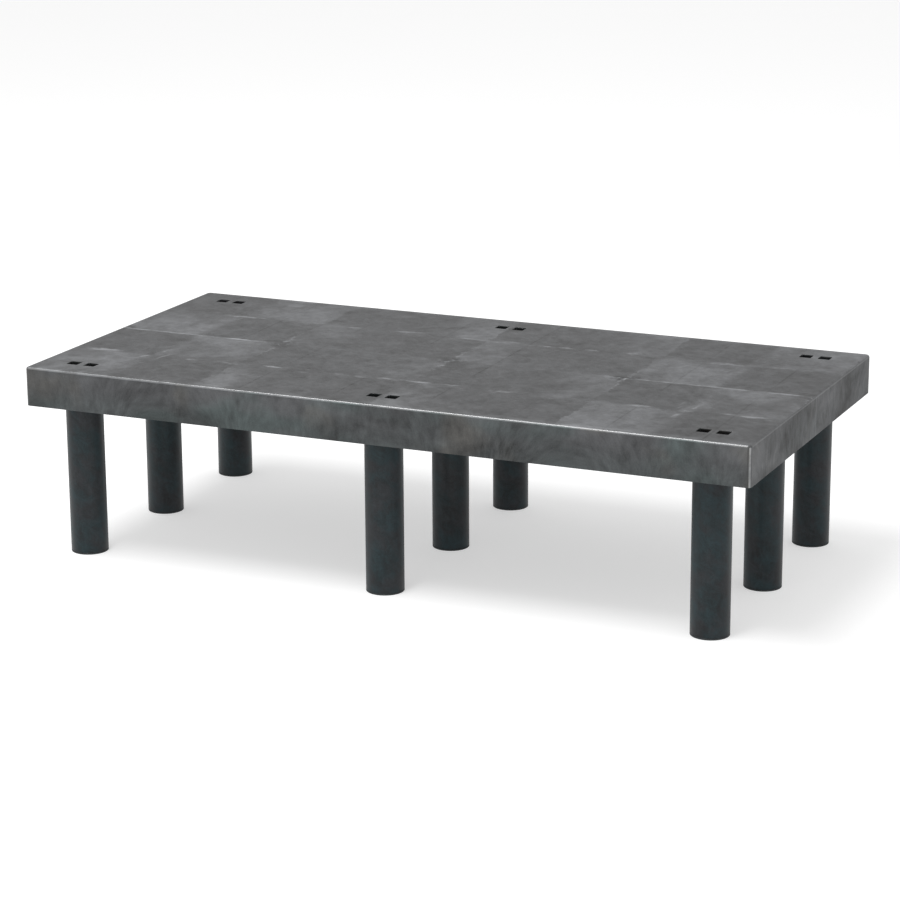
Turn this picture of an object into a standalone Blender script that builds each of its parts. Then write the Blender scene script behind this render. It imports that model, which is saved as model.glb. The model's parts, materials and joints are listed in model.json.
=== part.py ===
"""Stage riser platform: a moulded plastic deck standing on nine push-fit round legs.

The deck is one moulding, open underneath, with a rib grid and nine round sockets.
Each leg is a tube pushed up into a socket, with a foot cap plugged into its lower end.
Metres, +X along the deck, +Y to the rear, +Z up, floor at z = 0.
"""
import math

import bmesh
import bpy

# Driving sizes
DECK_LENGTH = 1.2192
DECK_WIDTH = 0.6096
PLATFORM_HEIGHT = 0.3120
SKIRT_DEPTH = 0.0635
LEG_DIAMETER = 0.0603
LEG_X = 0.5340
LEG_Y = 0.2500

# Deck moulding
PANEL_THICKNESS = 0.0064
SKIRT_WALL = 0.0064
RIM_RELIEF = 0.0010
RIB_THICKNESS = 0.0045
RIB_RECESS = 0.0060
CROSS_RIB_PITCH = DECK_LENGTH / 8
CORNER_RADIUS = 0.0075
CORNER_STEPS = 5
EDGE_RADIUS = 0.0045
EDGE_STEPS = 4

# Joining holes in the panel
HOLE_SIDE = 0.0195
HOLE_PITCH = 0.0312
HOLE_CORNER_RADIUS = 0.0015
HOLE_CORNER_STEPS = 2

# Legs, sockets and foot caps
ROUND_STEPS = 32
FIT_GAP = 0.0003
SOCKET_WALL = 0.0045
TUBE_WALL = 0.0039
TUBE_LEAD_IN = 0.0010
CAP_FLANGE = 0.0030
CAP_EDGE = 0.0010
CAP_WALL = 0.0028
CAP_PLUG_HEIGHT = 0.0160

# Cutters pass this far beyond the face they open
OVERRUN = 0.0050

LEG_RADIUS = LEG_DIAMETER / 2
SOCKET_RADIUS = LEG_RADIUS + FIT_GAP
BOSS_RADIUS = SOCKET_RADIUS + SOCKET_WALL
TUBE_BORE_RADIUS = LEG_RADIUS - TUBE_WALL
SKIRT_BOTTOM = PLATFORM_HEIGHT - SKIRT_DEPTH
RIB_BOTTOM = SKIRT_BOTTOM + RIB_RECESS
PANEL_UNDERSIDE = PLATFORM_HEIGHT - PANEL_THICKNESS
TUBE_TOP = PANEL_UNDERSIDE - FIT_GAP
TUBE_BOTTOM = CAP_FLANGE + FIT_GAP

COLUMNS = (("left", -LEG_X), ("centre", 0.0), ("right", LEG_X))
ROWS = (("front", -LEG_Y), ("middle", 0.0), ("rear", LEG_Y))
LEG_PLACES = [(f"{row}_{column}", x, y) for row, y in ROWS for column, x in COLUMNS]


def clear_scene():
    for obj in list(bpy.data.objects):
        bpy.data.objects.remove(obj, do_unlink=True)


def make_collection(name):
    group = bpy.data.collections.new(name)
    bpy.context.scene.collection.children.link(group)
    return group


def make_material(name, colour, roughness):
    mat = bpy.data.materials.new(name)
    mat.use_nodes = True
    shader = mat.node_tree.nodes["Principled BSDF"]
    shader.inputs["Base Color"].default_value = (*colour, 1.0)
    shader.inputs["Roughness"].default_value = roughness
    shader.inputs["Metallic"].default_value = 0.0
    return mat


def new_object(name, mesh, group, material=None):
    obj = bpy.data.objects.new(name, mesh)
    group.objects.link(obj)
    if material:
        mesh.materials.append(material)
    return obj


def mesh_from(bm, name):
    bmesh.ops.recalc_face_normals(bm, faces=bm.faces)
    mesh = bpy.data.meshes.new(name)
    bm.to_mesh(mesh)
    bm.free()
    return mesh


def add_box(bm, low, high):
    """Add a box between two corners."""
    made = bmesh.ops.create_cube(bm, size=1.0)["verts"]
    for vert in made:
        for axis in range(3):
            middle = (low[axis] + high[axis]) / 2
            vert.co[axis] = middle + vert.co[axis] * (high[axis] - low[axis])


def add_post(bm, x, y, radius, low, high):
    """Add a round post with as many facets as the turned legs."""
    made = bmesh.ops.create_cone(
        bm, cap_ends=True, segments=ROUND_STEPS,
        radius1=radius, radius2=radius, depth=high - low)["verts"]
    bmesh.ops.translate(bm, verts=made, vec=(x, y, (low + high) / 2))


def upright_edges(bm):
    """Edges that run along Z."""
    return [edge for edge in bm.edges
            if abs(edge.verts[0].co.z - edge.verts[1].co.z) > 0.999 * edge.calc_length()]


def turned(name, profile, group, material):
    """Turn a closed (radius, height) profile about Z with a Screw modifier."""
    bm = bmesh.new()
    verts = [bm.verts.new((radius, 0.0, height)) for radius, height in profile]
    for first, second in zip(verts, verts[1:]):
        bm.edges.new((first, second))
    if profile[0][0] > 0:
        bm.edges.new((verts[-1], verts[0]))
    mesh = bpy.data.meshes.new(name)
    bm.to_mesh(mesh)
    bm.free()
    obj = new_object(name, mesh, group, material)
    screw = obj.modifiers.new("turn", "SCREW")
    screw.axis = "Z"
    screw.angle = math.tau
    screw.steps = ROUND_STEPS
    screw.render_steps = ROUND_STEPS
    screw.use_merge_vertices = True
    screw.merge_threshold = 0.00001
    screw.use_normal_calculate = True
    screw.use_smooth_shade = True
    return obj


def cut(obj, cutter):
    mod = obj.modifiers.new(cutter.name, "BOOLEAN")
    mod.operation = "DIFFERENCE"
    mod.solver = "EXACT"
    mod.object = cutter


def make_cutter(name, bm, group):
    obj = new_object(name, mesh_from(bm, name), group)
    obj.hide_render = True
    obj.display_type = "WIRE"
    return obj


def deck_blank():
    """The outer block with rounded upright corners and a rounded top edge."""
    half_x, half_y = DECK_LENGTH / 2, DECK_WIDTH / 2
    bm = bmesh.new()
    add_box(bm, (-half_x, -half_y, SKIRT_BOTTOM), (half_x, half_y, PLATFORM_HEIGHT))
    bmesh.ops.bevel(
        bm, geom=upright_edges(bm), offset=CORNER_RADIUS, segments=CORNER_STEPS,
        profile=0.5, affect="EDGES", clamp_overlap=True)
    top_rim = [edge for edge in bm.edges
               if min(vert.co.z for vert in edge.verts) > SKIRT_BOTTOM + SKIRT_DEPTH / 2]
    bmesh.ops.bevel(
        bm, geom=top_rim, offset=EDGE_RADIUS, segments=EDGE_STEPS,
        profile=0.5, affect="EDGES", clamp_overlap=True)
    return mesh_from(bm, "deck")


def bays(lines, half):
    """Clear spans between ribs centred on the given lines, out to the skirt walls."""
    spans, start = [], -half
    for line in lines:
        spans.append((start, line - RIB_THICKNESS / 2))
        start = line + RIB_THICKNESS / 2
    spans.append((start, half))
    return spans


def rib_cells():
    """The hollow cells between the ribs."""
    offsets = [CROSS_RIB_PITCH * (n + 0.5) for n in range(3)] + [LEG_X]
    cross = sorted([-x for x in offsets] + [0.0] + offsets)
    long = [-LEG_Y, -LEG_Y / 2, 0.0, LEG_Y / 2, LEG_Y]
    bm = bmesh.new()
    for x0, x1 in bays(cross, DECK_LENGTH / 2 - SKIRT_WALL):
        for y0, y1 in bays(long, DECK_WIDTH / 2 - SKIRT_WALL):
            add_box(bm, (x0, y0, SKIRT_BOTTOM), (x1, y1, PANEL_UNDERSIDE))
    return bm


def rim_slab():
    """The clear space below the ribs, just inside the skirt's lower rim."""
    inset = SKIRT_WALL - RIM_RELIEF
    half_x, half_y = DECK_LENGTH / 2 - inset, DECK_WIDTH / 2 - inset
    bm = bmesh.new()
    add_box(bm, (-half_x, -half_y, SKIRT_BOTTOM - OVERRUN), (half_x, half_y, RIB_BOTTOM))
    return bm


def posts(radius, low, high):
    bm = bmesh.new()
    for _, x, y in LEG_PLACES:
        add_post(bm, x, y, radius, low, high)
    return bm


def joining_holes():
    """A pair of square holes over each front and rear leg."""
    half = HOLE_SIDE / 2
    bm = bmesh.new()
    for _, y in (ROWS[0], ROWS[2]):
        for _, column_x in COLUMNS:
            for side in (-1, 1):
                x = column_x + side * HOLE_PITCH / 2
                add_box(bm, (x - half, y - half, PANEL_UNDERSIDE - OVERRUN),
                        (x + half, y + half, PLATFORM_HEIGHT + OVERRUN))
    bmesh.ops.bevel(
        bm, geom=upright_edges(bm), offset=HOLE_CORNER_RADIUS,
        segments=HOLE_CORNER_STEPS, profile=0.5, affect="EDGES", clamp_overlap=True)
    return bm


def build_deck(group, cutters, material):
    deck = new_object("deck", deck_blank(), group, material)
    slab = make_cutter("cut_rim_slab", rim_slab(), cutters)
    cells = make_cutter("cut_rib_cells", rib_cells(), cutters)
    bosses = make_cutter(
        "keep_bosses", posts(BOSS_RADIUS, SKIRT_BOTTOM - OVERRUN, PLATFORM_HEIGHT), cutters)
    bores = make_cutter(
        "cut_bores", posts(SOCKET_RADIUS, SKIRT_BOTTOM - OVERRUN, PANEL_UNDERSIDE), cutters)
    holes = make_cutter("cut_joining_holes", joining_holes(), cutters)
    cut(cells, bosses)
    for cutter in (slab, cells, bores, holes):
        cut(deck, cutter)
    return deck


def build_leg(place, x, y, group, tube_material, cap_material):
    tube = turned("leg_tube_" + place, [
        (LEG_RADIUS - TUBE_LEAD_IN, TUBE_TOP),
        (LEG_RADIUS, TUBE_TOP - TUBE_LEAD_IN),
        (LEG_RADIUS, TUBE_BOTTOM),
        (TUBE_BORE_RADIUS, TUBE_BOTTOM),
        (TUBE_BORE_RADIUS, TUBE_TOP),
    ], group, tube_material)
    tube.location = (x, y, 0.0)

    plug_radius = TUBE_BORE_RADIUS - FIT_GAP
    plug_top = CAP_FLANGE + CAP_PLUG_HEIGHT
    cap = turned("foot_cap_" + place, [
        (0.0, CAP_FLANGE),
        (plug_radius - CAP_WALL, CAP_FLANGE),
        (plug_radius - CAP_WALL, plug_top),
        (plug_radius - CAP_EDGE, plug_top),
        (plug_radius, plug_top - CAP_EDGE),
        (plug_radius, CAP_FLANGE),
        (LEG_RADIUS, CAP_FLANGE),
        (LEG_RADIUS, CAP_EDGE),
        (LEG_RADIUS - CAP_EDGE, 0.0),
        (0.0, 0.0),
    ], group, cap_material)
    cap.location = (x, y, 0.0)


def main():
    clear_scene()
    group = make_collection("stage_riser_platform")
    cutters = make_collection("cutters")
    deck_plastic = make_material("deck_plastic", (0.085, 0.087, 0.090), 0.48)
    leg_plastic = make_material("leg_plastic", (0.030, 0.031, 0.034), 0.42)
    cap_plastic = make_material("foot_cap_plastic", (0.016, 0.016, 0.017), 0.60)
    build_deck(group, cutters, deck_plastic)
    for place, x, y in LEG_PLACES:
        build_leg(place, x, y, group, leg_plastic, cap_plastic)


main()
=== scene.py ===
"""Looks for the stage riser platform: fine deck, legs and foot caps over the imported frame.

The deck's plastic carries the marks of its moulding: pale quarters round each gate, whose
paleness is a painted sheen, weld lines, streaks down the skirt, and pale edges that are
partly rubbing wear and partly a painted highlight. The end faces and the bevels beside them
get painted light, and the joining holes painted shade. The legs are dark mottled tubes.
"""
import json
import math

import bmesh
import bpy
from mathutils import Matrix, Vector

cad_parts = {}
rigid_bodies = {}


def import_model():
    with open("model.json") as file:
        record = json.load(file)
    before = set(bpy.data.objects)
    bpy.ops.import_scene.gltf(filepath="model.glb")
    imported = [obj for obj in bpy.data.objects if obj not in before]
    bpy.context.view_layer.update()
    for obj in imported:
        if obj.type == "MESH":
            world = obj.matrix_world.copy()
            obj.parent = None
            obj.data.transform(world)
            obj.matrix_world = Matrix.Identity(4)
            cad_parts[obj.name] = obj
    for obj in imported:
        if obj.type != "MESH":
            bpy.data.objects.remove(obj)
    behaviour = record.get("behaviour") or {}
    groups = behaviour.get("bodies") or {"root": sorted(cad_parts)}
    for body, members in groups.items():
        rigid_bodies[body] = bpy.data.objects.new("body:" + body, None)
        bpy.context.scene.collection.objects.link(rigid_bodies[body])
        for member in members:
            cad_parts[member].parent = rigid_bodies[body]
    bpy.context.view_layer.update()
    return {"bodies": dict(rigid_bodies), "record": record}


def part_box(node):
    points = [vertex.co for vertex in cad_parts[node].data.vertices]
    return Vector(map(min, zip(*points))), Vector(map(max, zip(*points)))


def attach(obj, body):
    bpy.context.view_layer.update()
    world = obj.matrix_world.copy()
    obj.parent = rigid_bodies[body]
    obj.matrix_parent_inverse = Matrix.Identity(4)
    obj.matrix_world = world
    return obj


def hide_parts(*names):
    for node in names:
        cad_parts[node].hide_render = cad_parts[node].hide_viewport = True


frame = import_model()

# Sizes read from the frame, in metres
DECK_LOW, DECK_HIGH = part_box("deck")
DECK_LENGTH = DECK_HIGH.x - DECK_LOW.x
DECK_WIDTH = DECK_HIGH.y - DECK_LOW.y
DECK_TOP = DECK_HIGH.z
SKIRT_BOTTOM = DECK_LOW.z
LEG_BODIES = {name: nodes for name, nodes in frame["record"]["behaviour"]["bodies"].items()
              if name.startswith("leg_")}


def piece_box(body, kind):
    """The box of a leg body's tube or foot cap."""
    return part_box(next(node for node in LEG_BODIES[body] if node.startswith(kind)))


TUBE_BOXES = {body: piece_box(body, "leg_tube") for body in LEG_BODIES}
LEG_CENTRES = {body: ((low.x + high.x) / 2, (low.y + high.y) / 2)
               for body, (low, high) in TUBE_BOXES.items()}
LEG_X = max(x for x, _ in LEG_CENTRES.values())
LEG_Y = max(y for _, y in LEG_CENTRES.values())

# All legs are the same size, so one tube and one cap stand for the rest
TUBE_LOW, TUBE_HIGH = list(TUBE_BOXES.values())[-1]
LEG_RADIUS = (TUBE_HIGH.x - TUBE_LOW.x) / 2
TUBE_TOP = TUBE_HIGH.z
TUBE_BOTTOM = TUBE_LOW.z
_, CAP_HIGH = piece_box(next(iter(LEG_BODIES)), "foot_cap")
PLUG_TOP = CAP_HIGH.z
FIT_GAP = 0.0003

# Deck moulding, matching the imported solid
PANEL_UNDERSIDE = TUBE_TOP + FIT_GAP
SKIRT_WALL = 0.0064
RIM_RELIEF = 0.0010
RIB_THICKNESS = 0.0045
RIB_RECESS = 0.0060
RIB_BOTTOM = SKIRT_BOTTOM + RIB_RECESS
CROSS_RIB_PITCH = DECK_LENGTH / 8
CELL_CORNER_RADIUS = 0.0025
CORNER_RADIUS = 0.0075
EDGE_RADIUS = 0.0045
HOLE_SIDE = 0.0195
HOLE_PITCH = 0.0312
HOLE_CORNER_RADIUS = 0.0015
SOFTENED_EDGE = 0.0007

# Sockets, tubes and caps
SOCKET_WALL = 0.0045
SOCKET_RADIUS = LEG_RADIUS + FIT_GAP
BOSS_RADIUS = SOCKET_RADIUS + SOCKET_WALL
TUBE_WALL = 0.0039
TUBE_BORE_RADIUS = LEG_RADIUS - TUBE_WALL
TUBE_LIP = 0.0008
CAP_FLANGE = TUBE_BOTTOM - FIT_GAP
CAP_EDGE = 0.0009
PLUG_RADIUS = TUBE_BORE_RADIUS - FIT_GAP
PLUG_WALL = 0.0030
PLUG_BARE_END = 0.0020

# Gripping fins round the plug: how deep, and where each is full and ends, as parts of the pitch
FIN_COUNT = 3
FIN_DEPTH = 0.0009
FIN_FULL_FROM = 0.45
FIN_FULL_TO = 0.65
FIN_END = 0.70

# Facets round a circle, and along each rounded edge
SOCKET_STEPS = 72
LEG_STEPS = 96
CORNER_STEPS = 10
EDGE_STEPS = 8
CELL_CORNER_STEPS = 3
HOLE_CORNER_STEPS = 4
SOFTENED_STEPS = 2
TUBE_LIP_STEPS = 4
TUBE_FOOT_STEPS = 3
CAP_EDGE_STEPS = 5

# Edges that turn more than this are hard: softened on the deck, shaded sharp on the legs
SHARP_ANGLE = math.radians(40)

# Cutters pass this far beyond the face they open
OVERRUN = 0.0050

# Base colours, linear red, green and blue
DECK_COLOUR = (0.0735, 0.0755, 0.0790)
DECK_COOL = (0.062, 0.078, 0.078)
DECK_WARM = (0.078, 0.0765, 0.0720)
LEG_COLOUR = (0.0135, 0.0155, 0.0178)
LEG_COOL = (0.0085, 0.0190, 0.0225)
CAP_COLOUR = (0.013, 0.018, 0.020)

# The moulding's flow pattern, in metres: two rows of four gates, with a cell round each
GATE_PITCH_X = DECK_LENGTH / 4
GATE_PITCH_Y = DECK_WIDTH / 2
CELL_RAG = 0.040
WELD_REACH = 0.0055
CROSS_WELD_LENGTH = 0.12
KNOT_INNER = 0.008
KNOT_OUTER = 0.034
# The pale band inside the long edges, partly wear and partly painted sheen
RIM_BAND_START = 0.022
RIM_BAND_FULL = 0.004
SEAM_REACH = 0.030
SKIRT_FADE = 0.060
COOL_FROM = 0.015

# More of the pattern, as parts of a cell's side or of the rib pitch
QUARTER_EDGE = 0.036
QUARTER_REACH = (0.10, 0.46)
END_CELL_EDGE = 0.02
CROSS_WELD_REACH = 0.020
DASH_REACH = 0.034
SPRAY_REACH_X = 0.17
SPRAY_REACH_Y = 0.30
RIB_SINK_REACH = 0.016

# Noise for each mark: cells to the metre, detail, roughness and distortion
NOISE = {
    "cell_rag": (24.0, 5.0, 0.7),
    "cloud": (9.0, 5.0, 0.62, 0.6),
    "fine_cloud": (34.0, 5.0, 0.65, 0.4),
    "speck": (420.0, 3.0, 0.75),
    "swirl": (75.0, 5.0, 0.70, 1.2),
    "gate_streaks": (9.0, 4.0, 0.7),
    "spray_wander": (9.0, 1.0),
    "skirt_lean": (6.0, 1.0),
    "wide_streaks": (9.0, 3.0, 0.52, 0.6),
    "thin_streaks": (80.0, 4.0, 0.65),
    "wave": (14.0, 2.0),
    "leg_lines": (5.0, 5.0, 0.65),
    "leg_cloud": (42.0, 5.0, 0.70, 0.8),
    "cap_cloud": (60.0, 4.0, 0.6),
    "cap_speck": (700.0, 3.0, 0.7),
    "floor": (2.0, 2.0),
}

# Patches: noise settings as above, then the noise where a patch starts and where it is full
PATCHES = {
    "mottle": ((48.0, 5.0, 0.72, 0.8), 0.30, 0.70),
    "weld": ((22.0, 3.0, 0.6), 0.36, 0.62),
    "cross_weld": ((120.0, 3.0, 0.6), 0.46, 0.62),
    "dashes": ((17.0, 3.0, 0.55), 0.50, 0.66),
    "spray_streaks": ((75.0, 3.0, 0.55), 0.53, 0.70),
    "spray_places": ((26.0, 3.0, 0.6), 0.42, 0.62),
    "knots": ((90.0, 3.0, 0.6), 0.36, 0.60),
    "rib_sinks": ((6.0, 2.0), 0.40, 0.62),
    "seam": ((160.0, 2.0), 0.45, 0.62),
    # The next two break up the pale edges: their wear and painted sheen, and the painted
    # highlight down the upright corners
    "worn": ((30.0, 3.0), 0.25, 0.60),
    "chafed": ((85.0, 3.0, 0.6), 0.32, 0.66),
    "cool": ((7.0, 2.0), 0.45, 0.75),
    "warm": ((11.0, 2.0), 0.50, 0.72),
    "leg_cool": ((26.0, 3.0, 0.6), 0.36, 0.64),
    "leg_scuffs": ((90.0, 4.0, 0.6), 0.52, 0.70),
    "cap_scuffs": ((160.0, 4.0, 0.7), 0.46, 0.66),
}
QUARTER_CLOUD = (0.36, 0.64)
RIM_BAND_CLOUD = (0.34, 0.66)

# Parts of the surface normal between which each mask goes from 0 to 1. For the two corner
# masks, corner_fade and upright_edge, the part is the product of its x and y
FACING = {
    "up": (0.55, 0.85),
    "top_edge_start": (0.18, 0.45),
    "top_edge_end": (0.88, 0.995),
    "end_edge": (0.10, 0.40),
    "end_side": (0.68, 0.73),
    "beside_end": (0.75, 0.94),
    "end_face": (0.985, 0.9999),
    "corner_fade": (0.10, 0.35),
    "upright_edge": (0.40, 0.50),
}

# Shade in the joining holes, in metres: depth where it starts and is full, how far below the
# panel it ends, and how far in from the deck's rim it starts
HOLE_SHADE_DEPTHS = (0.0008, 0.0020)
HOLE_SHADE_FOOT = (0.002, 0.001)
HOLE_SHADE_INSET = (0.020, 0.012)

# Skirt streaks: how steeply they lean, how fast each kind changes down the skirt, and how
# much stronger they are on the end faces
SKIRT_LEAN = 4.2
WIDE_CHANGE = 1.6
THIN_CHANGE = 0.45
END_STREAK_GAIN = 1.4

# Heights over which scuffs at the foot fade out, in metres
LEG_SCUFF_HEIGHTS = (0.004, 0.060)
CAP_SCUFF_HEIGHTS = (0.0, 0.0016)

# Shifts that give each leg a different patch of noise, for each metre of its place
LEG_SHIFT_X = 3.1
LEG_SHIFT_Y = 3.7
LEG_SLANT = 0.4

# Depth of the waves, lines and grain in each surface, in metres
WAVE_DEPTH = 0.0012
GRAIN_DEPTH = 0.00012
LEG_LINE_DEPTH = 0.0002
LEG_GRAIN_DEPTH = 0.00008

# Tone of each face, and how strongly each mark shows in it
TOP_TONE = 0.54
TOP_MARKS = {"swirl": 1.05, "cloud": 0.80, "fine_cloud": 1.20, "pale_quarters": 0.82,
             "weld": 1.90, "cross_weld": 1.50, "dashes": 1.70, "spray": 2.20,
             "rim_wear": 0.55, "gate_streaks": 0.80, "rib_sinks": -0.35}
SKIRT_TONE = 0.76
# On the skirt, the first two marks are painted light, lifting the end faces and the bevels
# beside them
SKIRT_MARKS = {"end_face": 0.08, "beside_end": 0.34, "streaks": 1.0, "foot": -0.16}
SKIRT_LEAST = 0.20
KNOT_SHADE = 0.85
SPECK_STRENGTH = 0.55
# Strength of the painted highlight down the upright corners
UPRIGHT_GLINT_STRENGTH = 1.35
HOLE_SHADE = 0.25
STREAK_MARKS = {"wide": 1.9, "thin": 1.15, "seam": 0.45}
LEG_MARKS = {"lines": 0.90, "cloud": 2.6, "speck": 1.0, "scuff": 0.30}
LEG_LEAST = 0.10
CAP_MARKS = {"cloud": 0.30, "speck": 0.15, "scuff": 0.9}

# Roughness of each plastic, and what each mark adds to it
DECK_ROUGHNESS = 0.38
DECK_ROUGH_MARKS = {"pale_quarters": 0.05, "cloud": 0.12, "speck": 0.10, "edge": -0.08}
LEG_ROUGHNESS = 0.44
LEG_ROUGH_MARKS = {"cloud": 0.30, "lines": 0.08, "scuff": 0.12}
CAP_ROUGHNESS = 0.60
CAP_ROUGH_MARKS = {"cloud": 0.15, "scuff": 0.12}

# Shine of the flat faces, of rubbed edges and of the legs
DECK_SHINE = 0.30
EDGE_SHINE = 1.00
LEG_SHINE = 0.26

# How much of the deck's shine is left on its end faces and in its holes
END_FACE_SHINE = 0.16
HOLE_SHINE = 0.20

# Camera: azimuth, elevation and roll in degrees, place in metres, lens in millimetres
CAMERA_ANGLES = (24.248, 15.463, -0.326)
CAMERA_PLACE = (1.5084 * DECK_LENGTH, -3.3502 * DECK_LENGTH, 1.1497 * DECK_LENGTH)
CAMERA_LENS = 114.57
CAMERA_SENSOR = 36.0

# Studio: lights are place, target, size in metres and power in watts
OVERHEAD_LIGHT = ((-1.0, -1.0, 4.0), (0.2, 0.0, 0.3), (3.4, 0.6), 140.0)
FRONT_LIGHT = ((-0.2, -3.9, 0.8), (0.0, 0.0, 0.15), (1.8, 1.0), 12.0)
SURROUND_LIGHT = 0.66
FLOOR_COLOUR = (0.60, 0.60, 0.60)
FLOOR_GLOW = 0.52
FLOOR_REACH = 30.0


# ---------------------------------------------------------------- shapes

def mesh_from(bm, name):
    bmesh.ops.recalc_face_normals(bm, faces=bm.faces)
    mesh = bpy.data.meshes.new(name)
    bm.to_mesh(mesh)
    bm.free()
    return mesh


def new_object(name, data):
    obj = bpy.data.objects.new(name, data)
    bpy.context.scene.collection.objects.link(obj)
    return obj


def add_box(bm, low, high):
    """Add a box between two corners."""
    made = bmesh.ops.create_cube(bm, size=1.0)["verts"]
    for vert in made:
        for axis in range(3):
            middle = (low[axis] + high[axis]) / 2
            vert.co[axis] = middle + vert.co[axis] * (high[axis] - low[axis])


def upright_edges(bm):
    """Edges that run along Z."""
    found = []
    for edge in bm.edges:
        run = edge.verts[1].co - edge.verts[0].co
        if abs(run.z) > 0.999 * run.length:
            found.append(edge)
    return found


def round_edges(bm, edges, radius, steps):
    bmesh.ops.bevel(bm, geom=edges, offset=radius, segments=steps, profile=0.5,
                    affect="EDGES", clamp_overlap=True)


def deck_blank():
    """The outer block with rounded upright corners and a rounded top edge."""
    half_x, half_y = DECK_LENGTH / 2, DECK_WIDTH / 2
    bm = bmesh.new()
    add_box(bm, (-half_x, -half_y, SKIRT_BOTTOM), (half_x, half_y, DECK_TOP))
    round_edges(bm, upright_edges(bm), CORNER_RADIUS, CORNER_STEPS)
    middle = (SKIRT_BOTTOM + DECK_TOP) / 2
    top_rim = [edge for edge in bm.edges if min(vert.co.z for vert in edge.verts) > middle]
    round_edges(bm, top_rim, EDGE_RADIUS, EDGE_STEPS)
    return mesh_from(bm, "deck_skin")


def bays(lines, half):
    """Clear spans between ribs centred on the given lines, out to the skirt walls."""
    spans, start = [], -half
    for line in lines:
        spans.append((start, line - RIB_THICKNESS / 2))
        start = line + RIB_THICKNESS / 2
    spans.append((start, half))
    return spans


def rib_cells():
    """The hollow cells between the ribs."""
    offsets = [CROSS_RIB_PITCH * (n + 0.5) for n in range(3)] + [LEG_X]
    cross = sorted([-x for x in offsets] + [0.0] + offsets)
    long = [-LEG_Y, -LEG_Y / 2, 0.0, LEG_Y / 2, LEG_Y]
    bm = bmesh.new()
    for x0, x1 in bays(cross, DECK_LENGTH / 2 - SKIRT_WALL):
        for y0, y1 in bays(long, DECK_WIDTH / 2 - SKIRT_WALL):
            add_box(bm, (x0, y0, SKIRT_BOTTOM), (x1, y1, PANEL_UNDERSIDE))
    round_edges(bm, upright_edges(bm), CELL_CORNER_RADIUS, CELL_CORNER_STEPS)
    return bm


def rim_slab():
    """The clear space below the ribs, just inside the skirt's lower rim."""
    inset = SKIRT_WALL - RIM_RELIEF
    half_x, half_y = DECK_LENGTH / 2 - inset, DECK_WIDTH / 2 - inset
    bm = bmesh.new()
    add_box(bm, (-half_x, -half_y, SKIRT_BOTTOM - OVERRUN), (half_x, half_y, RIB_BOTTOM))
    return bm


def posts(radius, low, high):
    """A round post at each leg's place."""
    bm = bmesh.new()
    for x, y in LEG_CENTRES.values():
        made = bmesh.ops.create_cone(bm, cap_ends=True, segments=SOCKET_STEPS, radius1=radius,
                                     radius2=radius, depth=high - low)["verts"]
        bmesh.ops.translate(bm, verts=made, vec=(x, y, (low + high) / 2))
    return bm


def joining_holes():
    """A pair of square holes over each front and rear leg."""
    half = HOLE_SIDE / 2
    bm = bmesh.new()
    for leg_x, leg_y in LEG_CENTRES.values():
        if abs(leg_y) < LEG_Y / 2:
            continue
        for side in (-1, 1):
            x = leg_x + side * HOLE_PITCH / 2
            add_box(bm, (x - half, leg_y - half, PANEL_UNDERSIDE - OVERRUN),
                    (x + half, leg_y + half, DECK_TOP + OVERRUN))
    round_edges(bm, upright_edges(bm), HOLE_CORNER_RADIUS, HOLE_CORNER_STEPS)
    return bm


def settle(obj):
    """Swap the object's mesh for its evaluated one and drop its modifiers."""
    graph = bpy.context.evaluated_depsgraph_get()
    mesh = bpy.data.meshes.new_from_object(obj.evaluated_get(graph))
    obj.modifiers.clear()
    obj.data = mesh


def cut(obj, cutter):
    mod = obj.modifiers.new(cutter.name, "BOOLEAN")
    mod.operation = "DIFFERENCE"
    mod.solver = "EXACT"
    mod.object = cutter
    settle(obj)


def soften(obj):
    """Take the sharpness off every hard edge and shade the rest smooth."""
    bevel = obj.modifiers.new("soften", "BEVEL")
    bevel.width = SOFTENED_EDGE
    bevel.segments = SOFTENED_STEPS
    bevel.limit_method = "ANGLE"
    bevel.angle_limit = SHARP_ANGLE
    bevel.use_clamp_overlap = True
    settle(obj)
    weigh = obj.modifiers.new("weigh", "WEIGHTED_NORMAL")
    weigh.keep_sharp = True
    for poly in obj.data.polygons:
        poly.use_smooth = True
    settle(obj)


def make_cutter(name, bm):
    return new_object(name, mesh_from(bm, name))


def build_deck():
    """The deck moulding: a solid block hollowed from below, with holes through its panel."""
    deck = new_object("deck_skin", deck_blank())
    slab = make_cutter("slab", rim_slab())
    cells = make_cutter("cells", rib_cells())
    bosses = make_cutter("bosses", posts(BOSS_RADIUS, SKIRT_BOTTOM - OVERRUN, DECK_TOP))
    bores = make_cutter("bores", posts(SOCKET_RADIUS, SKIRT_BOTTOM - OVERRUN, PANEL_UNDERSIDE))
    holes = make_cutter("holes", joining_holes())
    cut(cells, bosses)
    for cutter in (slab, cells, bores, holes):
        cut(deck, cutter)
    for cutter in (slab, cells, bosses, bores, holes):
        bpy.data.objects.remove(cutter, do_unlink=True)
    soften(deck)
    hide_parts("deck")
    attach(deck, "deck_body")
    return deck


def turned(name, profile):
    """Turn a closed (radius, height) profile about Z."""
    bm = bmesh.new()
    verts = [bm.verts.new((radius, 0.0, height)) for radius, height in profile]
    edges = [bm.edges.new(pair) for pair in zip(verts, verts[1:])]
    if profile[0][0] > 0:
        edges.append(bm.edges.new((verts[-1], verts[0])))
    bmesh.ops.spin(bm, geom=verts + edges, axis=(0, 0, 1), cent=(0, 0, 0),
                   steps=LEG_STEPS, angle=math.tau, use_merge=True)
    bmesh.ops.remove_doubles(bm, verts=bm.verts, dist=0.000001)
    mesh = mesh_from(bm, name)
    for poly in mesh.polygons:
        poly.use_smooth = True
    mesh.set_sharp_from_angle(angle=SHARP_ANGLE)
    return mesh


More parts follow.
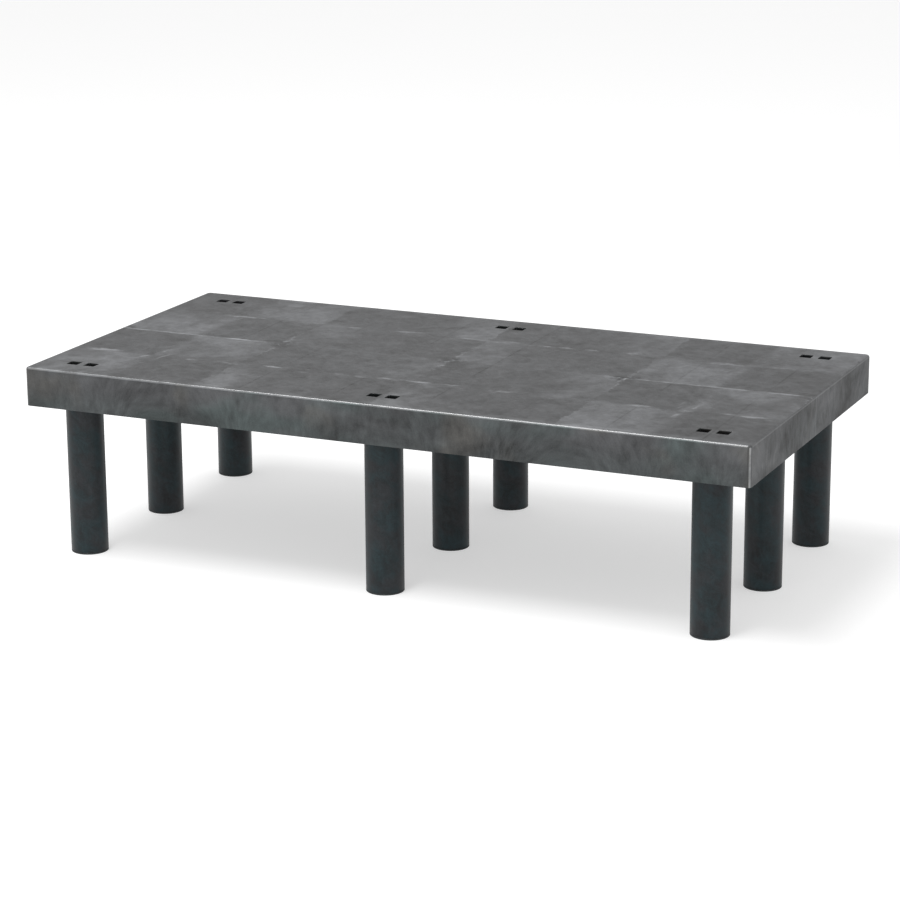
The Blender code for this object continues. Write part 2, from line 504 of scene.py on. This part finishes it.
def arc(centre, radius, start, end, steps):
    """Points on an arc, angles in degrees, in the (radius, height) plane."""
    points = []
    for n in range(steps + 1):
        angle = math.radians(start + (end - start) * n / steps)
        points.append((centre[0] + radius * math.cos(angle),
                       centre[1] + radius * math.sin(angle)))
    return points


def tube_profile():
    """A plain tube with a rounded lip at the top and a smaller one at the foot."""
    half_lip = TUBE_LIP / 2
    lip = arc((LEG_RADIUS - TUBE_LIP, TUBE_TOP - TUBE_LIP), TUBE_LIP, 90, 0, TUBE_LIP_STEPS)
    foot = arc((LEG_RADIUS - half_lip, TUBE_BOTTOM + half_lip), half_lip, 0, -90,
               TUBE_FOOT_STEPS)
    bore = [(TUBE_BORE_RADIUS + half_lip, TUBE_BOTTOM),
            (TUBE_BORE_RADIUS, TUBE_BOTTOM + half_lip),
            (TUBE_BORE_RADIUS, TUBE_TOP - half_lip),
            (TUBE_BORE_RADIUS + half_lip, TUBE_TOP)]
    return lip + foot + bore


def cap_profile():
    """A closed flange with a cup-shaped plug that carries gripping fins."""
    root = PLUG_RADIUS - FIN_DEPTH
    inner = PLUG_RADIUS - PLUG_WALL
    fin_top = PLUG_TOP - PLUG_BARE_END
    fin_pitch = (fin_top - CAP_FLANGE - PLUG_WALL) / FIN_COUNT
    profile = [(0.0, CAP_FLANGE), (inner, CAP_FLANGE), (inner, PLUG_TOP),
               (root - TUBE_LIP, PLUG_TOP)]
    for n in range(FIN_COUNT):
        base = fin_top - n * fin_pitch
        profile += [(root, base),
                    (PLUG_RADIUS, base - fin_pitch * FIN_FULL_FROM),
                    (PLUG_RADIUS, base - fin_pitch * FIN_FULL_TO),
                    (root, base - fin_pitch * FIN_END)]
    profile += [(root, CAP_FLANGE), (LEG_RADIUS - CAP_EDGE / 3, CAP_FLANGE),
                (LEG_RADIUS, CAP_FLANGE - CAP_EDGE / 3)]
    profile += arc((LEG_RADIUS - CAP_EDGE, CAP_EDGE), CAP_EDGE, 0, -90, CAP_EDGE_STEPS)
    return profile + [(0.0, 0.0)]


def build_legs():
    """A tube and a foot cap at each leg's place."""
    tube_mesh = turned("tube", tube_profile())
    cap_mesh = turned("cap", cap_profile())
    tubes, caps = [], []
    for body, (x, y) in LEG_CENTRES.items():
        place = body.removeprefix("leg_")
        for name, node, mesh, made, slot in (
                ("tube_", "leg_tube_", tube_mesh, tubes, "leg_plastic"),
                ("cap_", "foot_cap_", cap_mesh, caps, "foot_cap_plastic")):
            obj = new_object(name + place, mesh.copy())
            obj.location = (x, y, 0.0)
            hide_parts(node + place)
            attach(obj, body)
            made.append(obj)
    return tubes, caps


# ---------------------------------------------------------------- materials

class Graph:
    """A material, with short names for building its node graph."""

    def __init__(self, name):
        self.material = bpy.data.materials.new(name)
        self.material.use_nodes = True
        self.tree = self.material.node_tree
        self.shader = self.tree.nodes["Principled BSDF"]
        coords = self.tree.nodes.new("ShaderNodeTexCoord")
        self.point = coords.outputs["Object"]
        self.x, self.y, self.z = self.split(self.point)
        self.nx, self.ny, self.nz = self.split(coords.outputs["Normal"])

    def link(self, value, socket):
        if isinstance(value, bpy.types.NodeSocket):
            self.tree.links.new(value, socket)
        else:
            socket.default_value = value

    def node(self, kind, **inputs):
        made = self.tree.nodes.new(kind)
        for key, value in inputs.items():
            self.link(value, made.inputs[key])
        return made

    def split(self, vector):
        return self.node("ShaderNodeSeparateXYZ", Vector=vector).outputs

    def vector(self, x, y, z):
        return self.node("ShaderNodeCombineXYZ", X=x, Y=y, Z=z).outputs[0]

    def math(self, operation, *values):
        made = self.tree.nodes.new("ShaderNodeMath")
        made.operation = operation
        for socket, value in zip(made.inputs, values):
            self.link(value, socket)
        return made.outputs[0]

    def add(self, *values):
        total = values[0]
        for value in values[1:]:
            total = self.math("ADD", total, value)
        return total

    def mul(self, *values):
        total = values[0]
        for value in values[1:]:
            total = self.math("MULTIPLY", total, value)
        return total

    def sub(self, first, second):
        return self.math("SUBTRACT", first, second)

    def absolute(self, value):
        return self.math("ABSOLUTE", value)

    def distance(self, first, second):
        """Length of the hypotenuse over two sides."""
        return self.math("SQRT", self.add(self.mul(first, first), self.mul(second, second)))

    def in_cell(self, value, pitch):
        """Place within a cell of the given pitch, -0.5 to 0.5."""
        return self.sub(self.math("FRACT", self.math("DIVIDE", value, pitch)), 0.5)

    def step(self, value, low, high):
        """Smooth 0 to 1 as value goes from low to high."""
        made = self.tree.nodes.new("ShaderNodeMapRange")
        made.interpolation_type = "SMOOTHSTEP"
        self.link(value, made.inputs["Value"])
        self.link(low, made.inputs["From Min"])
        self.link(high, made.inputs["From Max"])
        return made.outputs["Result"]

    def between(self, low, high, mask):
        """low where the mask is 0, high where it is 1."""
        return self.add(low, self.mul(mask, high - low))

    def invert(self, mask):
        return self.sub(1.0, mask)

    def near(self, value, width):
        """1 where value is 0, falling to 0 at plus or minus width."""
        return self.invert(self.step(self.absolute(value), 0.0, width))

    def total(self, base, weights, marks):
        """The base plus each named mark times its weight."""
        return self.add(base, *(self.mul(marks[name], weight)
                                for name, weight in weights.items()))

    def noise(self, vector, scale, detail=3.0, roughness=0.5, distortion=0.0):
        """Noise from 0 to 1, scale in cells to the metre."""
        made = self.node("ShaderNodeTexNoise", Vector=vector, Scale=scale, Detail=detail,
                         Roughness=roughness, Distortion=distortion)
        return made.outputs["Fac"]

    def centred(self, vector, name):
        """Named noise from -0.5 to 0.5."""
        return self.sub(self.noise(vector, *NOISE[name]), 0.5)

    def patches(self, vector, name):
        """1 inside the named patches, 0 between them."""
        settings, start, full = PATCHES[name]
        return self.step(self.noise(vector, *settings), start, full)

    def tint(self, colour, amount):
        """The colour times a grey amount."""
        made = self.tree.nodes.new("ShaderNodeVectorMath")
        made.operation = "SCALE"
        self.link(colour, made.inputs[0])
        self.link(amount, made.inputs["Scale"])
        return made.outputs[0]

    def blend(self, mask, first, second):
        """The first colour where the mask is 0, the second where it is 1."""
        made = self.tree.nodes.new("ShaderNodeMix")
        made.data_type = "RGBA"
        self.link(mask, made.inputs["Factor"])
        for key, colour in (("A", first), ("B", second)):
            self.link((*colour, 1.0) if isinstance(colour, tuple) else colour, made.inputs[key])
        return made.outputs["Result"]

    def bump(self, height, distance, strength, normal=None):
        made = self.node("ShaderNodeBump", Height=height, Distance=distance, Strength=strength)
        if normal is not None:
            self.link(normal, made.inputs["Normal"])
        return made.outputs["Normal"]

    def shaded(self, **inputs):
        """Set the shader's inputs, named with _ for each space, and hand over the material."""
        for key, value in inputs.items():
            self.link(value, self.shader.inputs[key.replace("_", " ")])
        return self.material


class DeckPlastic(Graph):
    """The deck's plastic: flow marks on top, streaks down the skirt, and pale edges that are
    partly wear and partly a painted highlight.
    """

    def __init__(self):
        super().__init__("deck_plastic")
        self.depth = self.sub(DECK_TOP, self.z)
        self.cloud = self.noise(self.point, *NOISE["cloud"])
        self.fine_cloud = self.noise(self.point, *NOISE["fine_cloud"])
        self.speck = self.centred(self.point, "speck")
        self.find_cell()
        self.find_facing()

    def find_cell(self):
        """Place within a gate's cell, with slightly ragged edges."""
        shuffled = self.vector(self.y, self.z, self.x)
        rag_x = self.mul(self.centred(self.point, "cell_rag"), CELL_RAG)
        rag_y = self.mul(self.centred(shuffled, "cell_rag"), CELL_RAG)
        self.cell_x = self.in_cell(self.add(self.x, rag_x), GATE_PITCH_X)
        self.cell_y = self.in_cell(self.add(self.y, rag_y), GATE_PITCH_Y)
        self.right_half = self.step(self.cell_x, -QUARTER_EDGE, QUARTER_EDGE)
        self.rear_half = self.step(self.cell_y, -QUARTER_EDGE, QUARTER_EDGE)
        self.end_cells = self.step(self.absolute(self.x), GATE_PITCH_X * (1 - END_CELL_EDGE),
                                   GATE_PITCH_X * (1 + END_CELL_EDGE))

    def find_facing(self):
        """Masks for the way the surface faces, and for its rounded edges."""
        endways = self.absolute(self.nx)
        self.up = self.step(self.nz, *FACING["up"])
        self.end_side = self.step(endways, *FACING["end_side"])
        self.end_face = self.step(endways, *FACING["end_face"])
        # Mask of the bevels beside the end faces, which take painted light
        beside_end = self.step(endways, *FACING["beside_end"])
        self.beside_end = self.mul(beside_end, self.invert(self.end_face))
        corner = self.absolute(self.mul(self.nx, self.ny))
        self.corner_fade = self.step(corner, *FACING["corner_fade"])
        self.upright_edge = self.step(corner, *FACING["upright_edge"])
        # The top edges' wear and painted highlight are weaker along the ends, where less
        # highlight falls
        end_edge = self.step(endways, *FACING["end_edge"])
        top_edge = self.mul(self.step(self.nz, *FACING["top_edge_start"]),
                            self.invert(self.step(self.nz, *FACING["top_edge_end"])),
                            self.between(1.0, 0.2, end_edge))
        self.edge = self.math("MAXIMUM", top_edge, self.upright_edge)

    def pale_quarters(self):
        """Two opposite quarters of each gate's cell, paler and mottled: flow marks whose
        paleness is a painted sheen.
        """
        right, rear = self.right_half, self.rear_half
        opposite = self.add(self.mul(right, rear),
                            self.mul(self.invert(right), self.invert(rear)))
        towards_weld = self.step(self.absolute(self.cell_x), *QUARTER_REACH)
        reach = self.add(self.end_cells, self.mul(self.invert(self.end_cells), towards_weld))
        return self.mul(opposite, reach,
                        self.between(0.25, 1.0, self.step(self.cloud, *QUARTER_CLOUD)),
                        self.between(0.60, 1.35, self.patches(self.point, "mottle")))

    def weld(self):
        """The weld line down the middle, broken, and strong over the end cells."""
        return self.mul(self.near(self.y, WELD_REACH), self.between(0.10, 1.0, self.end_cells),
                        self.patches(self.vector(self.x, 0.0, 3.0), "weld"))

    def cross_weld(self):
        """Short weld lines between neighbouring cells."""
        between_cells = self.sub(self.absolute(self.cell_x), 0.5)
        return self.mul(self.near(between_cells, CROSS_WELD_REACH),
                        self.near(self.y, CROSS_WELD_LENGTH),
                        self.patches(self.point, "cross_weld"))

    def dashes(self):
        """Pale dashes along each line of gates."""
        along = self.vector(self.x, self.mul(self.y, 3.0), 7.0)
        return self.mul(self.near(self.cell_y, DASH_REACH), self.patches(along, "dashes"))

    def spray(self):
        """Short slanting streaks across each gate."""
        wander = self.mul(self.centred(self.point, "spray_wander"), 0.030)
        across = self.add(self.x, self.mul(self.y, -0.30), wander)
        slanted = self.vector(across, self.mul(self.y, 0.22), 2.0)
        return self.mul(self.near(self.cell_x, SPRAY_REACH_X),
                        self.near(self.cell_y, SPRAY_REACH_Y),
                        self.patches(slanted, "spray_streaks"),
                        self.patches(self.point, "spray_places"),
                        self.between(0.30, 1.0, self.end_cells))

    def gate_streaks(self):
        """Streaks running out from each gate."""
        turn = self.math("ARCTAN2", self.cell_y, self.cell_x)
        out = self.mul(self.distance(self.cell_x, self.cell_y), 0.9)
        outward = self.vector(turn, out, self.mul(self.right_half, 3.0))
        return self.centred(outward, "gate_streaks")

    def knots(self):
        """Dark knots where the weld lines meet."""
        from_seam = self.mul(self.sub(self.absolute(self.cell_x), 0.5), GATE_PITCH_X)
        inside = self.invert(self.step(self.distance(from_seam, self.y),
                                       KNOT_INNER, KNOT_OUTER))
        return self.mul(inside, self.patches(self.point, "knots"), KNOT_SHADE)

    def rib_sinks(self):
        """Faint lines over the cross ribs."""
        return self.mul(self.near(self.in_cell(self.x, CROSS_RIB_PITCH), RIB_SINK_REACH),
                        self.patches(self.vector(self.x, self.y, 1.5), "rib_sinks"))

    def rim_wear(self):
        """A pale band just inside the long edges: partly rubbing wear and partly a painted
        sheen beside the edge highlight.
        """
        half = DECK_WIDTH / 2
        band = self.step(self.absolute(self.y), half - RIM_BAND_START, half - RIM_BAND_FULL)
        return self.mul(band, self.step(self.cloud, *RIM_BAND_CLOUD))

    def top_tone(self, quarters, sinks):
        """Tone of the top: all its marks added up, then darkened at the knots."""
        marks = {
            "swirl": self.centred(self.point, "swirl"),
            "cloud": self.sub(self.cloud, 0.5),
            "fine_cloud": self.sub(self.fine_cloud, 0.5),
            "pale_quarters": quarters,
            "weld": self.weld(),
            "cross_weld": self.cross_weld(),
            "dashes": self.dashes(),
            "spray": self.spray(),
            "rim_wear": self.rim_wear(),
            "gate_streaks": self.gate_streaks(),
            "rib_sinks": sinks,
        }
        return self.mul(self.total(TOP_TONE, TOP_MARKS, marks), self.invert(self.knots()))

    def skirt_streaks(self):
        """Upright and slanting flow streaks, and a seam down the middle of each end."""
        along = self.add(self.x, self.mul(self.end_side, self.sub(self.y, self.x)))
        slope = self.centred(self.vector(along, 0.0, 0.0), "skirt_lean")
        lean = self.mul(self.depth, slope, SKIRT_LEAN)
        run = self.add(along, lean)
        wide = self.vector(run, self.mul(self.depth, WIDE_CHANGE), self.math("ROUND", self.nx))
        thin = self.vector(run, self.mul(self.depth, THIN_CHANGE), self.math("ROUND", self.ny))
        marks = {
            "wide": self.centred(wide, "wide_streaks"),
            "thin": self.centred(thin, "thin_streaks"),
            "seam": self.mul(self.near(self.y, SEAM_REACH), self.absolute(self.nx),
                             self.patches(self.vector(self.y, 0.0, 0.0), "seam")),
        }
        return self.mul(self.total(0.0, STREAK_MARKS, marks),
                        self.between(1.0, END_STREAK_GAIN, self.end_face),
                        self.invert(self.corner_fade))

    def skirt_tone(self):
        """Tone of the sides: streaks, darker towards the foot, with painted light lifting the
        end faces and the bevels beside them.
        """
        marks = {
            "end_face": self.end_face,
            "beside_end": self.beside_end,
            "streaks": self.skirt_streaks(),
            "foot": self.step(self.depth, 0.0, SKIRT_FADE),
        }
        return self.math("MAXIMUM", self.total(SKIRT_TONE, SKIRT_MARKS, marks), SKIRT_LEAST)

    def edge_wear_and_highlight(self):
        """Pale tone along the rounded edges: partly rubbing wear and partly a painted
        highlight, with a stronger painted highlight in patches down the upright corners.
        """
        worn = self.between(0.65, 1.15, self.patches(self.point, "worn"))
        chafed = self.patches(self.point, "chafed")
        return self.add(self.mul(self.edge, worn),
                        self.mul(self.upright_edge, chafed, UPRIGHT_GLINT_STRENGTH))

    def painted_hole_shade(self):
        """1 on the walls of the joining holes, where shade is painted into the tone."""
        foot_low, foot_high = (PANEL_UNDERSIDE - below for below in HOLE_SHADE_FOOT)
        inside = self.mul(self.step(self.depth, *HOLE_SHADE_DEPTHS),
                          self.step(self.z, foot_low, foot_high))
        for place, half in ((self.x, DECK_LENGTH / 2), (self.y, DECK_WIDTH / 2)):
            rim_start, rim_full = (half - inset for inset in HOLE_SHADE_INSET)
            rim = self.step(self.absolute(place), rim_start, rim_full)
            inside = self.mul(inside, self.invert(rim))
        return inside

    def base_colour(self):
        """Cool and warm patches on the sides, coolest towards the skirt's foot."""
        cool = self.patches(self.vector(self.x, self.y, self.mul(self.z, 2.0)), "cool")
        foot = self.mul(self.step(self.depth, COOL_FROM, SKIRT_FADE), 0.45)
        cool = self.math("MINIMUM", self.add(cool, foot), 1.0)
        warm = self.patches(self.vector(self.x, self.y, self.add(self.z, 5.0)), "warm")
        sides = self.mul(self.invert(self.up), self.between(1.0, 0.25, self.end_side))
        base = self.blend(self.mul(cool, sides), DECK_COLOUR, DECK_COOL)
        return self.blend(self.mul(warm, sides), base, DECK_WARM)

    def surface(self, sinks):
        """Shallow waves and fine grain, smoother on the rubbed edges."""
        wave = self.add(self.centred(self.point, "wave"), self.mul(sinks, -0.12))
        waved = self.bump(wave, WAVE_DEPTH, self.between(0.35, 0.0, self.edge))
        grain = self.add(self.mul(self.speck, 0.8), self.mul(self.fine_cloud, 0.5))
        return self.bump(grain, GRAIN_DEPTH, self.between(0.60, 0.06, self.edge), waved)


def deck_material():
    """The deck's plastic, put together from its marks."""
    g = DeckPlastic()
    quarters = g.pale_quarters()
    sinks = g.rib_sinks()
    painted_shade_walls = g.painted_hole_shade()
    tone = g.add(g.mul(g.up, g.top_tone(quarters, sinks)),
                 g.mul(g.invert(g.up), g.skirt_tone()),
                 g.mul(g.speck, SPECK_STRENGTH, g.invert(g.edge)),
                 g.edge_wear_and_highlight())
    # Painted shade on the walls of the joining holes
    tone = g.mul(tone, g.between(1.0, HOLE_SHADE, painted_shade_walls))
    rough_marks = {"pale_quarters": quarters, "cloud": g.sub(g.cloud, 0.5),
                   "speck": g.speck, "edge": g.edge}
    # The end faces shine at a glancing angle, so they get little shine of their own
    shine = g.mul(g.between(DECK_SHINE, EDGE_SHINE, g.edge),
                  g.between(1.0, END_FACE_SHINE, g.end_face),
                  g.between(1.0, HOLE_SHINE, painted_shade_walls))
    return g.shaded(Base_Color=g.tint(g.base_colour(), tone),
                    Roughness=g.total(DECK_ROUGHNESS, DECK_ROUGH_MARKS, rough_marks),
                    Specular_IOR_Level=shine,
                    Normal=g.surface(sinks))


def leg_material():
    """Dark plastic with lines round the tube and cool patches, different on each leg."""
    g = Graph("leg_plastic")
    leg_place = g.tree.nodes.new("ShaderNodeObjectInfo").outputs["Location"]
    leg_x, leg_y, _ = g.split(leg_place)
    point = g.vector(g.add(g.x, g.mul(g.z, LEG_SLANT), g.mul(leg_x, LEG_SHIFT_X)),
                     g.add(g.y, g.mul(leg_y, LEG_SHIFT_Y)), g.z)
    turn = g.math("ARCTAN2", g.y, g.x)
    scuffed = g.invert(g.step(g.z, *LEG_SCUFF_HEIGHTS))
    marks = {
        "lines": g.centred(g.vector(turn, g.mul(g.z, 6.0), 0.0), "leg_lines"),
        "cloud": g.centred(point, "leg_cloud"),
        "speck": g.centred(g.point, "speck"),
        "scuff": g.mul(scuffed, g.patches(g.point, "leg_scuffs")),
    }
    cool = g.patches(point, "leg_cool")
    tone = g.math("MAXIMUM", g.total(1.0, LEG_MARKS, marks), LEG_LEAST)
    lined = g.bump(marks["lines"], LEG_LINE_DEPTH, 0.35)
    return g.shaded(Base_Color=g.tint(g.blend(cool, LEG_COLOUR, LEG_COOL), tone),
                    Roughness=g.total(LEG_ROUGHNESS, LEG_ROUGH_MARKS, marks),
                    Specular_IOR_Level=LEG_SHINE,
                    Normal=g.bump(marks["speck"], LEG_GRAIN_DEPTH, 0.5, lined))


def cap_material():
    """Dark plastic, scuffed where it stands on the floor."""
    g = Graph("foot_cap_plastic")
    scuffed = g.invert(g.step(g.z, *CAP_SCUFF_HEIGHTS))
    marks = {
        "cloud": g.centred(g.point, "cap_cloud"),
        "speck": g.centred(g.point, "cap_speck"),
        "scuff": g.mul(scuffed, g.patches(g.point, "cap_scuffs")),
    }
    grain = g.add(marks["speck"], g.mul(marks["cloud"], 0.6))
    return g.shaded(Base_Color=g.tint(CAP_COLOUR, g.total(1.0, CAP_MARKS, marks)),
                    Roughness=g.total(CAP_ROUGHNESS, CAP_ROUGH_MARKS, marks),
                    Normal=g.bump(grain, GRAIN_DEPTH, 0.6))


def floor_material():
    """Pale paint that glows a little, so the floor stays near white."""
    g = Graph("floor_paint")
    tone = g.add(1.0, g.mul(g.centred(g.point, "floor"), 0.01))
    return g.shaded(Base_Color=g.tint(FLOOR_COLOUR, tone),
                    Emission_Color=(1.0, 1.0, 1.0, 1.0),
                    Emission_Strength=FLOOR_GLOW,
                    Roughness=0.9,
                    Specular_IOR_Level=0.1)


def dress(objects, material):
    for obj in objects:
        obj.data.materials.clear()
        obj.data.materials.append(material)


# ---------------------------------------------------------------- stage

def build_floor():
    """A wide floor that follows the lowest leg, so a leg pulled down doesn't sink into it."""
    bm = bmesh.new()
    bmesh.ops.create_grid(bm, x_segments=1, y_segments=1, size=FLOOR_REACH)
    floor = new_object("floor", mesh_from(bm, "floor"))
    dress([floor], floor_material())
    driver = floor.driver_add("location", 2).driver
    driver.type = "SCRIPTED"
    names = []
    for n, body in enumerate(LEG_BODIES):
        variable = driver.variables.new()
        variable.name = f"leg{n}"
        variable.type = "TRANSFORMS"
        variable.targets[0].id = frame["bodies"][body]
        variable.targets[0].transform_type = "LOC_Z"
        variable.targets[0].transform_space = "WORLD_SPACE"
        names.append(variable.name)
    driver.expression = f"min({', '.join(names)})"


def area_light(name, place, target, size, power):
    lamp = bpy.data.lights.new(name, "AREA")
    lamp.shape = "RECTANGLE"
    lamp.size, lamp.size_y = size
    lamp.energy = power
    obj = new_object(name, lamp)
    obj.location = place
    obj.rotation_mode = "QUATERNION"
    obj.rotation_quaternion = (Vector(target) - Vector(place)).to_track_quat("-Z", "Y")


def build_world():
    """An even pale surround: white to the camera, softer as light."""
    world = bpy.data.worlds.new("studio")
    bpy.context.scene.world = world
    world.use_nodes = True
    tree = world.node_tree
    back = tree.nodes["Background"]
    back.inputs["Color"].default_value = (1.0, 1.0, 1.0, 1.0)
    seen = tree.nodes.new("ShaderNodeLightPath")
    level = tree.nodes.new("ShaderNodeMapRange")
    level.inputs["To Min"].default_value = SURROUND_LIGHT
    level.inputs["To Max"].default_value = 1.0
    tree.links.new(seen.outputs["Is Camera Ray"], level.inputs["Value"])
    tree.links.new(level.outputs["Result"], back.inputs["Strength"])


def build_camera():
    azimuth, elevation, roll = (math.radians(angle) for angle in CAMERA_ANGLES)
    ahead = Vector((-math.sin(azimuth) * math.cos(elevation),
                    math.cos(azimuth) * math.cos(elevation), -math.sin(elevation)))
    right = ahead.cross(Vector((0, 0, 1))).normalized()
    over = right.cross(ahead)
    side = right * math.cos(roll) + over * math.sin(roll)
    top = over * math.cos(roll) - right * math.sin(roll)
    data = bpy.data.cameras.new("camera")
    data.lens = CAMERA_LENS
    data.sensor_width = CAMERA_SENSOR
    data.clip_start = 0.1
    data.clip_end = 100.0
    camera = new_object("camera", data)
    turn = Matrix((side, top, -ahead)).transposed()
    camera.matrix_world = Matrix.Translation(Vector(CAMERA_PLACE)) @ turn.to_4x4()
    bpy.context.scene.camera = camera


deck_object = build_deck()
tube_objects, cap_objects = build_legs()
dress([deck_object], deck_material())
dress(tube_objects, leg_material())
dress(cap_objects, cap_material())
build_floor()
build_world()
area_light("overhead", *OVERHEAD_LIGHT)
area_light("front", *FRONT_LIGHT)
build_camera()
bpy.context.scene.view_settings.view_transform = "Standard"
bpy.context.scene.view_settings.look = "None"
